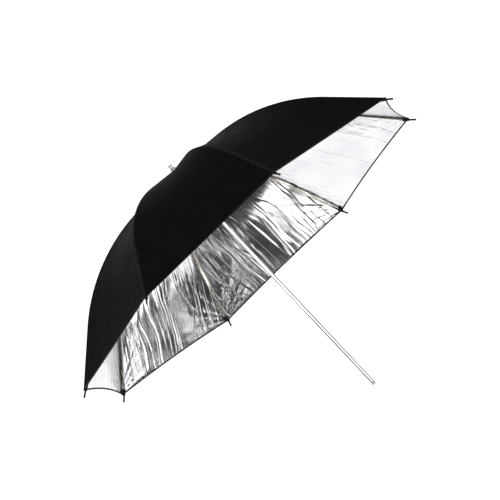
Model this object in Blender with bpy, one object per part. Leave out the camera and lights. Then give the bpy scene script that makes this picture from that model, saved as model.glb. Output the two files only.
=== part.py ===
"""A photographic umbrella reflector: eight ribs on a crown, a sliding runner and a fabric dish.

The shaft lies along Y. The dish opens towards -Y and the ferrule points to +Y. The origin is on
the shaft's axis, at the middle of the length that a stand's umbrella bracket grips.
Everything is modelled in the umbrella's own frame, with Z along the shaft, and one empty turns it.
"""

import math

import bmesh
import bpy
from mathutils import Matrix, Vector

# Driving sizes, in metres and degrees

RIBS = 8

# shaft
SHAFT_D = 0.008
SHAFT_WALL = 0.0007
GRIP_TO_END = 0.080
APEX_ABOVE_GRIP = 0.4675

# dish: the line that the fabric's outer face follows over a rib
HEM_RADIUS = 0.4106
INNER_SLOPE = 9.0
OUTER_SLOPE = 45.0
BEND_START = 0.116
BEND_END = 0.3254
FABRIC = 0.0012
FABRIC_HOLE_GAP = 0.0012
PANEL_SAG = 0.0075
HEM_SCALLOP = 0.0070

# ribs: a U-shaped channel, open to the inside
RIB_W = 0.0044
RIB_H = 0.0040
RIB_WALL = 0.0006
RIB_LEAD = 0.006
RIB_LINING = 0.016
BLADE = 0.0012
BLADE_EDGE = 0.0006
BLADE_LEAD = 0.001
EYE_R = 0.0022

# tips
TIP_COLLAR_R = 0.0031
TIP_NECK_R = 0.0020
TIP_PIN_R = 0.0018
TIP_COLLAR = 0.0125
TIP_PIN = 0.0134
TIP_TILT = 7.0
TIP_DEPTH = 0.0044
TONGUE_W = 0.0012
TONGUE_H = 0.0018
TONGUE = 0.008
TONGUE_ROOT = 0.006
TONGUE_STEP = 0.001
TIP_COLLAR_EDGE = 0.0004
TIP_COLLAR_RISE = 0.0005
TIP_SHOULDER = 0.001

# crown, runner and the wire rings that the ribs and stretchers turn on
PIVOT_CLEAR = 0.00045
WASHER_CLEAR = 0.0007012
WIRE_R = 0.0005
DISC_RIM = 0.003
DISC_HALF = 0.0026
HUB_WALL = 0.0020
CROWN_HUB = 0.012
RUNNER_WALL = 0.0015
RUNNER_SLEEVE = 0.024
SLOT_FLOOR = 0.0002
CROSS_PIN_R = 0.0008
CROSS_PIN_DROP = 0.008
RUNNER_EDGE = 0.0006
WASHER_T = 0.0006
WASHER_INSET = 0.002

# stretchers
STRETCHER_AT = 0.190
STRETCHER_W = 0.0034
STRETCHER_H = 0.0028
STRETCHER_WALL = 0.0005
STRETCHER_BLADE = 0.014
STRETCHER_LAP = 0.010
STRETCHER_EYE_R = 0.0013
STRETCHER_NOSE = 0.0013
EYE_CLEAR = 0.0004
RIVET_R = 0.0005
RIVET_HEAD_R = 0.0013
RIVET_HEAD = 0.0006

# end fittings
PLUG_HEAD = 0.0055
PLUG_STEM = 0.012
PLUG_EDGE = 0.0006
FERRULE_OUT = 0.0115
FLANGE_REACH = 0.0028
FERRULE_FLANGE = 0.0012
FERRULE_STEM = 0.010
FERRULE_EDGE = 0.0012
FLANGE_EDGE = 0.0004

# catch: a blade in a slot of the shaft, whose shoulder holds the runner up
CATCH_T = 0.0012
CATCH_LENGTH = 0.026
CATCH_OUT = 0.0022
CATCH_BACK = 0.0006
CATCH_FOOT_BACK = 0.0004
CATCH_FOOT_FRONT = 0.0014
CATCH_FOOT_RISE = 0.004
CATCH_HEEL = 0.006
CATCH_LIP = 0.0015
CATCH_NECK = 0.0012
CATCH_SLOT_RISE = 0.002

# clearances
GAP = 0.0003
RUNNING = 0.00035
FABRIC_GAP = 0.0017

# facets
ROUND = 24
SMALL_ROUND = 10
ARC_STEP = 0.026

SHAFT_R = SHAFT_D / 2
SHAFT_BORE = SHAFT_R - SHAFT_WALL
HUB_BORE = SHAFT_R + RUNNING
FABRIC_HOLE = SHAFT_R + FABRIC_HOLE_GAP
FERRULE_FLANGE_R = SHAFT_R + FLANGE_REACH
PIVOT_R = HUB_BORE + HUB_WALL + EYE_R + PIVOT_CLEAR
DISC_R = PIVOT_R + DISC_RIM
RIB_START = DISC_R + RIB_LEAD
WASHER_R = DISC_R - WASHER_INSET

# the crown hangs low enough for the washer's rim to clear the sloping fabric
FABRIC_DROP = WASHER_R * math.tan(math.radians(INNER_SLOPE)) + FABRIC / math.cos(math.radians(INNER_SLOPE))
PIVOT_DROP = FABRIC_DROP + WASHER_CLEAR + WASHER_T + GAP + DISC_HALF
CROWN_Z = APEX_ABOVE_GRIP - PIVOT_DROP
HALF_PANEL = math.pi / RIBS


# The fabric's line over a rib


def bend_radius():
    return (BEND_END - BEND_START) / (sine(OUTER_SLOPE) - sine(INNER_SLOPE))


def sine(degrees):
    return math.sin(math.radians(degrees))


def slope_at(radius):
    """The line's slope, in radians: straight, then an arc, then straight again."""
    if radius <= BEND_START:
        return math.radians(INNER_SLOPE)
    if radius >= BEND_END:
        return math.radians(OUTER_SLOPE)
    return math.asin(sine(INNER_SLOPE) + (radius - BEND_START) / bend_radius())


def height_at(radius):
    """The height of the fabric's outer face over a rib, above the grip point."""
    inner = min(radius, BEND_START)
    bent = min(max(radius, BEND_START), BEND_END)
    outer = max(radius, BEND_END) - BEND_END
    drop = inner * math.tan(math.radians(INNER_SLOPE))
    drop += bend_radius() * (math.cos(slope_at(BEND_START)) - math.cos(slope_at(bent)))
    drop += outer * math.tan(math.radians(OUTER_SLOPE))
    return APEX_ABOVE_GRIP - drop


def on_rib(radius, depth=0.0):
    """A point in a rib's plane, depth under the fabric's outer face, from the rib's own pivot."""
    slope = slope_at(radius)
    x = radius - depth * math.sin(slope)
    z = height_at(radius) - depth * math.cos(slope)
    return Vector((x - PIVOT_R, 0.0, z - CROWN_Z))


def arc_radii():
    """Stations along the line's arc, which the ribs and the fabric share."""
    steps = max(4, round((BEND_END - BEND_START) / ARC_STEP))
    return [BEND_START + (BEND_END - BEND_START) * i / steps for i in range(steps + 1)]


def channel_end():
    """The rib's channel ends just short of the tip's collar."""
    return HEM_RADIUS - (TIP_COLLAR + GAP) * math.cos(math.radians(OUTER_SLOPE))


RIB_TOP = FABRIC + FABRIC_GAP
RIVET_DEPTH = RIB_TOP + RIB_WALL + EYE_CLEAR + STRETCHER_EYE_R
RIVET_AT = on_rib(STRETCHER_AT, RIVET_DEPTH)
FOLD_SLOPE = math.atan2(-RIVET_AT.z, RIVET_AT.x)
STRETCHER = RIVET_AT.length
RUNNER_Z = CROWN_Z - 2 * STRETCHER * math.sin(FOLD_SLOPE)


# Modelling helpers


def clear_scene():
    for item in list(bpy.data.objects):
        bpy.data.objects.remove(item, do_unlink=True)


def finish(name, bm):
    """Turn a bmesh into an object with its faces pointing out."""
    bmesh.ops.remove_doubles(bm, verts=bm.verts, dist=1e-6)
    bmesh.ops.dissolve_degenerate(bm, edges=bm.edges, dist=1e-7)
    bmesh.ops.recalc_face_normals(bm, faces=bm.faces)
    mesh = bpy.data.meshes.new(name)
    bm.to_mesh(mesh)
    bm.free()
    piece = bpy.data.objects.new(name, mesh)
    bpy.context.scene.collection.objects.link(piece)
    return piece


def turned(name, profile, steps=ROUND, closed=False):
    """Turn a profile of (radius, height) points round Z."""
    bm = bmesh.new()
    points = [bm.verts.new((radius, 0.0, height)) for radius, height in profile]
    edges = [bm.edges.new(pair) for pair in zip(points, points[1:])]
    if closed:
        edges.append(bm.edges.new((points[-1], points[0])))
    bmesh.ops.spin(
        bm, geom=points + edges, cent=(0, 0, 0), axis=(0, 0, 1), dvec=(0, 0, 0),
        angle=2 * math.pi, steps=steps,
    )
    return finish(name, bm)


def plate(name, outline, thickness):
    """Extrude an outline of (x, z) points to both sides of the XZ plane."""
    bm = bmesh.new()
    face = bm.faces.new([bm.verts.new((x, -thickness / 2, z)) for x, z in outline])
    grown = bmesh.ops.extrude_face_region(bm, geom=[face])
    moved = [item for item in grown["geom"] if isinstance(item, bmesh.types.BMVert)]
    bmesh.ops.translate(bm, verts=moved, vec=(0, thickness, 0))
    return finish(name, bm)


def swept(name, sections):
    """Join equal rings of points, one after another, and close both ends."""
    bm = bmesh.new()
    rings = [[bm.verts.new(point) for point in section] for section in sections]
    for ring, following in zip(rings, rings[1:]):
        for i in range(len(ring)):
            j = (i + 1) % len(ring)
            bm.faces.new((ring[i], ring[j], following[j], following[i]))
    bm.faces.new(rings[0])
    bm.faces.new(list(reversed(rings[-1])))
    return finish(name, bm)


def block(name, low, high):
    """A box between two corners."""
    bm = bmesh.new()
    bmesh.ops.create_cube(bm, size=1.0)
    size = Vector(high) - Vector(low)
    bmesh.ops.scale(bm, vec=size, verts=bm.verts)
    bmesh.ops.translate(bm, vec=(Vector(high) + Vector(low)) / 2, verts=bm.verts)
    return finish(name, bm)


def rod(name, radius, start, end, steps=SMALL_ROUND):
    """A round bar between two points."""
    start, end = Vector(start), Vector(end)
    bm = bmesh.new()
    bmesh.ops.create_cone(
        bm, cap_ends=True, segments=steps, radius1=radius, radius2=radius,
        depth=(end - start).length,
    )
    turn = (end - start).to_track_quat("Z", "Y").to_matrix().to_4x4()
    bm.transform(Matrix.Translation((start + end) / 2) @ turn)
    return finish(name, bm)


def ring(name, major, minor, height, around=40, section=6):
    """A wire ring round Z."""
    profile = []
    for i in range(section):
        angle = 2 * math.pi * (i + 0.5) / section
        profile.append((major + minor * math.cos(angle), height + minor * math.sin(angle)))
    return turned(name, profile, around, closed=True)


def combine(piece, other, operation):
    """Add or cut another shape, keep the result as the piece's mesh and drop the other shape."""
    modifier = piece.modifiers.new(operation.lower(), "BOOLEAN")
    modifier.operation = operation
    modifier.object = other
    bpy.context.view_layer.update()
    evaluated = piece.evaluated_get(bpy.context.evaluated_depsgraph_get())
    mesh = bpy.data.meshes.new_from_object(evaluated)
    piece.modifiers.clear()
    piece.data = mesh
    bpy.data.objects.remove(other, do_unlink=True)
    return piece


def material(name, colour, metallic, roughness):
    finish_made = bpy.data.materials.new(name)
    finish_made.use_nodes = True
    shader = finish_made.node_tree.nodes["Principled BSDF"]
    shader.inputs["Base Color"].default_value = (*colour, 1.0)
    shader.inputs["Metallic"].default_value = metallic
    shader.inputs["Roughness"].default_value = roughness
    return finish_made


def dress(piece, surface, parent, smooth=False):
    piece.data.materials.clear()
    piece.data.materials.append(surface)
    if smooth:
        piece.data.shade_smooth()
        piece.data.set_sharp_from_angle(angle=math.radians(40))
    piece.parent = parent
    return piece


# Shaft and what is fixed to it


def tube_top():
    return APEX_ABOVE_GRIP - GAP


def make_shaft():
    low = -GRIP_TO_END + PLUG_HEAD + GAP
    outline = [(SHAFT_R, tube_top()), (SHAFT_R, low), (SHAFT_BORE, low), (SHAFT_BORE, tube_top())]
    tube = turned("shaft_tube", outline, closed=True)
    pin_z = CROWN_Z - CROSS_PIN_DROP
    reach = Vector((math.cos(HALF_PANEL), math.sin(HALF_PANEL), 0.0)) * 2 * SHAFT_R
    middle = Vector((0.0, 0.0, pin_z))
    combine(tube, rod("pin_hole", CROSS_PIN_R + GAP, middle - reach, middle + reach), "DIFFERENCE")
    slot_low, slot_high = catch_foot() + CATCH_SLOT_RISE, catch_top() + CATCH_SLOT_RISE
    half = CATCH_T / 2 + RUNNING
    slot = block("slot", (0.0, -half, slot_low), (2 * SHAFT_R, half, slot_high))
    return combine(tube, slot, "DIFFERENCE")


def make_plug():
    stem_r = SHAFT_BORE - GAP
    low = -GRIP_TO_END
    head = low + PLUG_HEAD
    return turned(
        "shaft_end_plug",
        [(0, low), (SHAFT_R - PLUG_EDGE, low), (SHAFT_R, low + PLUG_EDGE), (SHAFT_R, head),
         (stem_r, head), (stem_r, head + PLUG_STEM), (0, head + PLUG_STEM)],
    )


def make_ferrule():
    stem_r = SHAFT_BORE - GAP
    seat = APEX_ABOVE_GRIP + GAP
    step = seat + FERRULE_FLANGE
    top = seat + FERRULE_OUT
    return turned(
        "ferrule",
        [(0, seat - FERRULE_STEM), (stem_r, seat - FERRULE_STEM), (stem_r, seat),
         (FERRULE_FLANGE_R, seat), (FERRULE_FLANGE_R, step - FLANGE_EDGE),
         (FERRULE_FLANGE_R - FLANGE_EDGE, step), (SHAFT_R, step), (SHAFT_R, top - FERRULE_EDGE),
         (SHAFT_R - FERRULE_EDGE, top), (0, top)],
    )


def slotted_disc(piece, height, floor_r):
    """Cut the radial slots that the ribs' or stretchers' blades turn in, and the wire's groove."""
    half = BLADE / 2 + RUNNING
    low, high = height - 2 * DISC_HALF, height + 2 * DISC_HALF
    for i in range(RIBS):
        slot = block("slot", (floor_r + SLOT_FLOOR, -half, low), (2 * DISC_R, half, high))
        slot.data.transform(Matrix.Rotation(2 * math.pi * i / RIBS, 4, "Z"))
        combine(piece, slot, "DIFFERENCE")
    groove = ring("groove", PIVOT_R, WIRE_R + RUNNING, height)
    return combine(piece, groove, "DIFFERENCE")


def make_crown():
    top, low = CROWN_Z + DISC_HALF, CROWN_Z - DISC_HALF
    hub_r = HUB_BORE + HUB_WALL
    crown = turned(
        "crown",
        [(HUB_BORE, top), (DISC_R, top), (DISC_R, low), (hub_r, low),
         (hub_r, CROWN_Z - CROWN_HUB), (HUB_BORE, CROWN_Z - CROWN_HUB)],
        closed=True,
    )
    slotted_disc(crown, CROWN_Z, hub_r)
    reach = Vector((math.cos(HALF_PANEL), math.sin(HALF_PANEL), 0.0)) * 2 * hub_r
    middle = Vector((0.0, 0.0, CROWN_Z - CROSS_PIN_DROP))
    hole = rod("pin_hole", CROSS_PIN_R + GAP, middle - reach, middle + reach)
    return combine(crown, hole, "DIFFERENCE")


def make_crown_pin():
    reach = Vector((math.cos(HALF_PANEL), math.sin(HALF_PANEL), 0.0)) * (HUB_BORE + HUB_WALL + GAP)
    middle = Vector((0.0, 0.0, CROWN_Z - CROSS_PIN_DROP))
    return rod("crown_pin", CROSS_PIN_R, middle - reach, middle + reach)


def make_washer():
    """The pressed cup that spreads the ferrule's hold on the fabric, inside the dish."""
    low = CROWN_Z + DISC_HALF + GAP
    top = low + WASHER_T
    return turned(
        "canopy_washer",
        [(HUB_BORE, top), (WASHER_R, top), (WASHER_R, low), (HUB_BORE, low)],
        closed=True,
    )


# Catch


def catch_top():
    """The shoulder stands just under the runner's lower end."""
    return RUNNER_Z - RUNNER_SLEEVE - GAP


def catch_foot():
    return catch_top() - CATCH_LENGTH


def make_catch():
    """A bent spring blade, modelled from its foot, where it turns."""
    rise = CATCH_LENGTH
    outline = [
        (-CATCH_FOOT_BACK, 0.0), (CATCH_FOOT_FRONT, 0.0), (CATCH_FOOT_FRONT, CATCH_FOOT_RISE),
        (SHAFT_R + CATCH_OUT, rise - CATCH_LIP), (SHAFT_R + CATCH_OUT, rise),
        (SHAFT_R - CATCH_NECK, rise), (-CATCH_BACK, CATCH_HEEL),
    ]
    catch = plate("catch_spring", outline, CATCH_T)
    catch.location = (0.0, 0.0, catch_foot())
    return catch


# Runner


def make_runner():
    top, low = RUNNER_Z + DISC_HALF, RUNNER_Z - DISC_HALF
    sleeve_r = HUB_BORE + RUNNER_WALL
    foot = RUNNER_Z - RUNNER_SLEEVE
    runner = turned(
        "runner",
        [(HUB_BORE, top), (DISC_R, top), (DISC_R, low), (sleeve_r, low),
         (sleeve_r, foot + RUNNER_EDGE), (sleeve_r - RUNNER_EDGE, foot), (HUB_BORE, foot)],
        closed=True,
    )
    return slotted_disc(runner, RUNNER_Z, sleeve_r)


# Ribs and what rides on them


def channel_section(x_axis_point, slope, depth, width, height, wall):
    """A U section square to the rib's line, with its web towards the fabric."""
    out = Vector((math.sin(slope), 0.0, math.cos(slope)))
    corners = [
        (-width / 2, 0), (width / 2, 0), (width / 2, -height), (width / 2 - wall, -height),
        (width / 2 - wall, -wall), (-width / 2 + wall, -wall), (-width / 2 + wall, -height),
        (-width / 2, -height),
    ]
    return [x_axis_point + out * (n - depth) + Vector((0.0, y, 0.0)) for y, n in corners]


def eye_outline(centre, radius, start, end, steps=8):
    """Points of an arc from start to end degrees."""
    points = []
    for i in range(steps + 1):
        angle = math.radians(start + (end - start) * i / steps)
        points.append((centre[0] + radius * math.cos(angle), centre[1] + radius * math.sin(angle)))
    return points


def tip_frame():
    """Places the tip: Z runs outwards from the collar's inner end, and X across the rib."""
    slope = math.radians(OUTER_SLOPE - TIP_TILT)
    along = Vector((math.cos(slope), 0.0, -math.sin(slope)))
    neck = on_rib(HEM_RADIUS, TIP_DEPTH)
    turn = along.to_track_quat("Z", "Y").to_matrix().to_4x4()
    return Matrix.Translation(neck - along * TIP_COLLAR) @ turn


def make_rib_mesh():
    sections = []
    for radius in (RIB_START, *arc_radii(), channel_end()):
        point = on_rib(radius)
        sections.append(
            channel_section(point, slope_at(radius), RIB_TOP, RIB_W, RIB_H, RIB_WALL)
        )
    rib = swept("rib", sections)

    # the flat blade and eye that turn on the crown's wire
    web = RIB_TOP + RIB_WALL / 2
    low = RIB_TOP + RIB_H - BLADE_EDGE
    lining_end = RIB_START + RIB_LINING
    outline = eye_outline((0.0, 0.0), EYE_R, 80, 280)
    outline.append(on_rib(lining_end, low).xz)
    outline.append(on_rib(lining_end, web).xz)
    outline.append(on_rib(RIB_START - BLADE_LEAD, web).xz)
    combine(rib, plate("blade", outline, BLADE), "UNION")
    reach = Vector((0.0, RIB_W, 0.0))
    combine(rib, rod("eye", WIRE_R + RUNNING, -reach, reach), "DIFFERENCE")

    # the tongue that the tip is pushed on to, and its root between the channel's sides
    half_root = (RIB_W - RIB_WALL) / 2
    half_h, half_w = TONGUE_H / 2, TONGUE_W / 2
    tongue = block("tongue", (-half_w, -half_h, -TONGUE_ROOT / 2), (half_w, half_h, TONGUE))
    root = block("root", (-half_root, -half_h, -TONGUE_ROOT), (half_root, half_h, -TONGUE_STEP))
    combine(tongue, root, "UNION")
    tongue.data.transform(tip_frame())
    combine(rib, tongue, "UNION")

    # the rivet's holes
    hole = rod("hole", RIVET_R + GAP, RIVET_AT - reach, RIVET_AT + reach)
    combine(rib, hole, "DIFFERENCE")
    mesh = rib.data
    bpy.data.objects.remove(rib)
    return mesh


def make_tip_mesh():
    """A collar that grips the rib's tongue, then a slim pin with a rounded end."""
    socket_r = math.hypot(TONGUE_W, TONGUE_H) / 2 + GAP
    socket = TONGUE + GAP
    end = TIP_COLLAR + TIP_PIN
    ball = TIP_PIN_R * 1.1
    profile = [
        (0, socket), (socket_r, socket), (socket_r, 0), (TIP_COLLAR_R - TIP_COLLAR_EDGE, 0),
        (TIP_COLLAR_R, TIP_COLLAR_RISE), (TIP_COLLAR_R * 0.96, TIP_COLLAR * 0.45),
        (TIP_NECK_R, TIP_COLLAR * 0.92), (TIP_PIN_R, TIP_COLLAR + TIP_SHOULDER),
        (TIP_PIN_R, end - 2 * ball), (ball, end - 1.5 * ball), (ball, end - 0.7 * ball),
        (0.7 * ball, end - 0.2 * ball), (0, end),
    ]
    tip = turned("tip", profile, SMALL_ROUND)
    tip.data.transform(tip_frame())
    mesh = tip.data
    bpy.data.objects.remove(tip)
    return mesh


def make_rivet_mesh():
    """A shank with a head on each side of the rib's channel."""
    half = RIB_W / 2 + GAP
    profile = [
        (0, -half - RIVET_HEAD), (RIVET_HEAD_R * 0.7, -half - RIVET_HEAD), (RIVET_HEAD_R, -half),
        (RIVET_R, -half), (RIVET_R, half), (RIVET_HEAD_R, half),
        (RIVET_HEAD_R * 0.7, half + RIVET_HEAD), (0, half + RIVET_HEAD),
    ]
    rivet = turned("rivet", profile, SMALL_ROUND - 2)
    rivet.data.transform(Matrix.Translation(RIVET_AT) @ Matrix.Rotation(math.pi / 2, 4, "X"))
    mesh = rivet.data
    bpy.data.objects.remove(rivet)
    return mesh


def make_stretcher_mesh():
    """A channel with a flat blade at each end, from the rivet along +X to the runner's wire."""
    near, far = STRETCHER_BLADE, STRETCHER - STRETCHER_BLADE
    half_h = STRETCHER_H / 2
    width, wall = STRETCHER_W, STRETCHER_WALL
    corners = [
        (-width / 2, -half_h), (width / 2, -half_h), (width / 2, half_h), (width / 2 - wall, half_h),
        (width / 2 - wall, -half_h + wall), (-width / 2 + wall, -half_h + wall),
        (-width / 2 + wall, half_h), (-width / 2, half_h),
    ]
    sections = [[Vector((x, y, z)) for y, z in corners] for x in (near, far)]
    stretcher = swept("stretcher", sections)
    lap, edge = STRETCHER_LAP, BLADE_EDGE
    floor_z = -half_h + wall / 2

    first = eye_outline((0.0, 0.0), STRETCHER_EYE_R, 90, 270)
    first += [(near + lap, floor_z), (near + lap, half_h - edge), (near, half_h - edge)]
    combine(stretcher, plate("first_blade", first, BLADE), "UNION")
    reach = Vector((0.0, RIB_W, 0.0))
    combine(stretcher, rod("hole", RIVET_R + GAP, -reach, reach), "DIFFERENCE")

    stop = STRETCHER - WIRE_R - 2 * RUNNING
    nose = STRETCHER_NOSE
    second = [
        (far - lap, floor_z), (far, floor_z), (stop - edge, -nose), (stop, -nose + edge),
        (stop, nose - edge), (stop - edge, nose), (far, half_h - edge),
        (far - lap, half_h - edge),
    ]
    combine(stretcher, plate("second_blade", second, BLADE), "UNION")
    mesh = stretcher.data
    bpy.data.objects.remove(stretcher)
    return mesh


# Fabric


def panel_point(along, across, lift=0.0):
    """A point of the fabric's outer face: along runs from the hole to the hem, across from -1 to 1
    between the middles of two gores, with the rib at 0. Lift moves it off the face."""
    side = abs(across)
    fullness = 2 * side - side * side
    hem = HEM_RADIUS - HEM_SCALLOP * fullness * math.cos(math.radians(OUTER_SLOPE))
    radius = FABRIC_HOLE + (hem - FABRIC_HOLE) * along
    slope = slope_at(radius)
    sag = PANEL_SAG * math.sin(0.8 * math.pi * radius / HEM_RADIUS) * fullness
    depth = sag - lift
    outward = Vector((math.cos(HALF_PANEL), math.sin(HALF_PANEL))) if side else Vector((1.0, 0.0))
    x = radius * (1 - side * math.sin(HALF_PANEL) ** 2) - depth * math.sin(slope) * outward.x
    y = radius * side * math.sin(HALF_PANEL) * math.cos(HALF_PANEL)
    y -= depth * math.sin(slope) * outward.y + GAP / 2 * side
    z = height_at(radius) - depth * math.cos(slope)
    return Vector((x - PIVOT_R, math.copysign(y, across) if side else 0.0, z - CROWN_Z))


def make_panel_mesh():
    """The fabric on both sides of one rib, out to the middle of each gore."""
    radii = [FABRIC_HOLE, RIB_START * 2, *arc_radii(), (BEND_END + HEM_RADIUS) / 2, HEM_RADIUS]
    rows = [(radius - FABRIC_HOLE) / (HEM_RADIUS - FABRIC_HOLE) for radius in radii]
    columns = [-1.0, -0.64, -0.28, 0.0, 0.28, 0.64, 1.0]
    bm = bmesh.new()
    faces = []
    for lift in (0.0, -FABRIC):
        faces.append([[bm.verts.new(panel_point(row, c, lift)) for c in columns] for row in rows])
    outer, inner = faces
    last_row, last_column = len(rows) - 1, len(columns) - 1
    for i in range(last_row):
        for j in range(last_column):
            bm.faces.new((outer[i][j], outer[i + 1][j], outer[i + 1][j + 1], outer[i][j + 1]))
            bm.faces.new((inner[i][j], inner[i][j + 1], inner[i + 1][j + 1], inner[i + 1][j]))
        for j in (0, last_column):
            bm.faces.new((outer[i][j], outer[i + 1][j], inner[i + 1][j], inner[i][j]))
    for j in range(last_column):
        for i in (0, last_row):
            bm.faces.new((outer[i][j], outer[i][j + 1], inner[i][j + 1], inner[i][j]))
    panel = finish("panel", bm)
    mesh = panel.data
    bpy.data.objects.remove(panel)
    return mesh


def add(name, mesh, surface, parent, smooth=False):
    piece = bpy.data.objects.new(name, mesh.copy())
    bpy.context.scene.collection.objects.link(piece)
    return dress(piece, surface, parent, smooth)


def build():
    clear_scene()
    chrome = material("chrome", (0.80, 0.80, 0.81), 1.0, 0.10)
    steel = material("rib_steel", (0.72, 0.70, 0.64), 1.0, 0.28)
    black_plastic = material("black_plastic", (0.012, 0.012, 0.013), 0.0, 0.35)
    grey_plastic = material("grey_plastic", (0.62, 0.63, 0.65), 0.0, 0.45)
    fabric = material("fabric", (0.012, 0.012, 0.016), 0.0, 0.45)

    umbrella = bpy.data.objects.new("umbrella", None)
    umbrella.rotation_euler = (-math.pi / 2, 0.0, 0.0)
    bpy.context.scene.collection.objects.link(umbrella)

    dress(make_shaft(), chrome, umbrella, smooth=True)
    dress(make_plug(), grey_plastic, umbrella, smooth=True)
    dress(make_ferrule(), chrome, umbrella, smooth=True)
    dress(make_crown(), black_plastic, umbrella)
    dress(make_crown_pin(), chrome, umbrella, smooth=True)
    dress(ring("crown_wire", PIVOT_R, WIRE_R, CROWN_Z), steel, umbrella, smooth=True)
    dress(make_washer(), steel, umbrella, smooth=True)
    dress(make_catch(), steel, umbrella)
    dress(make_runner(), black_plastic, umbrella)
    dress(ring("runner_wire", PIVOT_R, WIRE_R, RUNNER_Z), steel, umbrella, smooth=True)

    rib_mesh = make_rib_mesh()
    tip_mesh = make_tip_mesh()
    rivet_mesh = make_rivet_mesh()
    stretcher_mesh = make_stretcher_mesh()
    panel_mesh = make_panel_mesh()
    for i in range(RIBS):
        number = i + 1
        angle = 2 * math.pi * i / RIBS
        rib = add(f"rib_{number}", rib_mesh, steel, umbrella)
        rib.location = (PIVOT_R * math.cos(angle), PIVOT_R * math.sin(angle), CROWN_Z)
        rib.rotation_euler = (0.0, 0.0, angle)
        add(f"rib_tip_{number}", tip_mesh, black_plastic, rib, smooth=True)
        add(f"rib_rivet_{number}", rivet_mesh, steel, rib)
        add(f"canopy_panel_{number}", panel_mesh, fabric, rib)
        stretcher = add(f"stretcher_{number}", stretcher_mesh, steel, rib)
        stretcher.location = RIVET_AT
        stretcher.rotation_euler = (0.0, math.pi - FOLD_SLOPE, 0.0)


build()
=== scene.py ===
import math

import bmesh
import bpy
import numpy as np
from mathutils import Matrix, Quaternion, Vector


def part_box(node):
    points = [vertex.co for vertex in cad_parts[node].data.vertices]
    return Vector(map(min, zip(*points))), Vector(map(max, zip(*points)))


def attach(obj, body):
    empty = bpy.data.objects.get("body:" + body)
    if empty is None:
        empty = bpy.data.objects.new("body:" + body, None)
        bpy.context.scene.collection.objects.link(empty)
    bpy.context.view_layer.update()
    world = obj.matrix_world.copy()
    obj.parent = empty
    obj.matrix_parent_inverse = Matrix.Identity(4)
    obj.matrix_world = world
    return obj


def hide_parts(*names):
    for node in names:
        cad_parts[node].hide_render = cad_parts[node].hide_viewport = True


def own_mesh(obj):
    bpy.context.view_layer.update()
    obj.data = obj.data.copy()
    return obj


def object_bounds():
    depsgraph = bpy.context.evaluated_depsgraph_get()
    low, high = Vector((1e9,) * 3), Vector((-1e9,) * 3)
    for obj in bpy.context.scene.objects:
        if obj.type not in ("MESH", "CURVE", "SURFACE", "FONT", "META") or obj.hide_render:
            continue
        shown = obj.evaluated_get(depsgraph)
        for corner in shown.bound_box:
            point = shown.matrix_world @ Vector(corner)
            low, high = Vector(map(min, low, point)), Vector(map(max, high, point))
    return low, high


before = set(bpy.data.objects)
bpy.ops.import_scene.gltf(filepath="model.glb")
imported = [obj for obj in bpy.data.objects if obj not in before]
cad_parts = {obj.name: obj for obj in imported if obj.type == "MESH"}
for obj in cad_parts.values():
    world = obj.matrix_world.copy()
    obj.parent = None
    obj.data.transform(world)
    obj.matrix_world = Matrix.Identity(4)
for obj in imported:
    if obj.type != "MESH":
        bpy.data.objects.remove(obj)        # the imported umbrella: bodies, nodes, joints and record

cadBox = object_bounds()

# the view and the studio, in metres, degrees and watts

shot = {
    "azimuth": -59.21,       # degrees round the object
    "elevation": 69.52,
    "roll": 17.60,
    "distance": 5.583,
    "aim": (0.0012, 0.2584, 0.0020),
    "lens": 218.35,
}

studio = {
    "floorDrop": 0.62,       # under the lowest tip
    "floorShift": 0.1,       # towards the back
    "floorSize": 4.6,
    "floorGlow": 0.80,
    "paper": (0.86, 0.86, 0.86),
    "skyTop": 1.15,
    "skyHorizon": 0.045,
    "skyRise": (0.60, 0.93),
    "backdrop": 1.15,        # what the camera itself sees of the sky
    "lights": (              # name, place, aim, width, height, watts
        ("topSoftbox", (-0.95, -0.35, 3.0), (0.0, 0.25, 0.0), 1.5, 1.5, 16),
        ("mouthBoxLeft", (0.16, -2.55, 0.34), (0.2, 0.3, -0.3), 0.42, 0.55, 3.0),
        ("mouthBoxRight", (1.28, -2.16, -0.42), (-0.2, 0.3, -0.3), 0.42, 1.15, 5.2),
        ("strip1", (-0.62, -2.6, 0.1), (0.2, 0.3, -0.3), 0.04, 1.9, 1.1),
        ("strip2", (-1.15, -2.4, 0.1), (0.2, 0.3, -0.3), 0.04, 1.9, 1.1),
        ("strip3", (1.95, -1.95, 0.0), (-0.2, 0.3, -0.3), 0.04, 1.9, 1.1),
        ("strip4", (2.35, -1.45, 0.0), (-0.2, 0.3, -0.3), 0.04, 1.9, 1.1),
        ("shaftCard", (-0.055, 0.24, 0.172), (0.0, 0.207, 0.0), 0.30, 0.26, 0.55),
        ("backSoftbox", (-1.4, 2.4, 1.6), (0.0, 0.3, 0.0), 1.0, 1.0, 6),
    ),
}


def placeCamera():
    turn, lift = math.radians(shot["azimuth"]), math.radians(shot["elevation"])
    back = Vector((
        math.sin(turn) * math.cos(lift), -math.cos(turn) * math.cos(lift), math.sin(lift),
    ))
    bpy.ops.object.camera_add(location=Vector(shot["aim"]) + back * shot["distance"])
    camera = bpy.context.object
    camera.name = "umbrellaCamera"
    camera.rotation_mode = "QUATERNION"
    level = (-back).to_track_quat("-Z", "Y")
    camera.rotation_quaternion = level @ Quaternion((0, 0, 1), math.radians(shot["roll"]))
    camera.data.lens = shot["lens"]
    camera.data.sensor_width = 36
    bpy.context.scene.camera = camera


def newMaterial(name, colour, metallic, roughness, specular=0.5):
    surface = bpy.data.materials.new(name)
    surface.use_nodes = True
    shader = surface.node_tree.nodes["Principled BSDF"]
    shader.inputs["Base Color"].default_value = (*colour, 1)
    shader.inputs["Metallic"].default_value = metallic
    shader.inputs["Roughness"].default_value = roughness
    shader.inputs["Specular IOR Level"].default_value = specular
    return surface, surface.node_tree, shader


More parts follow.
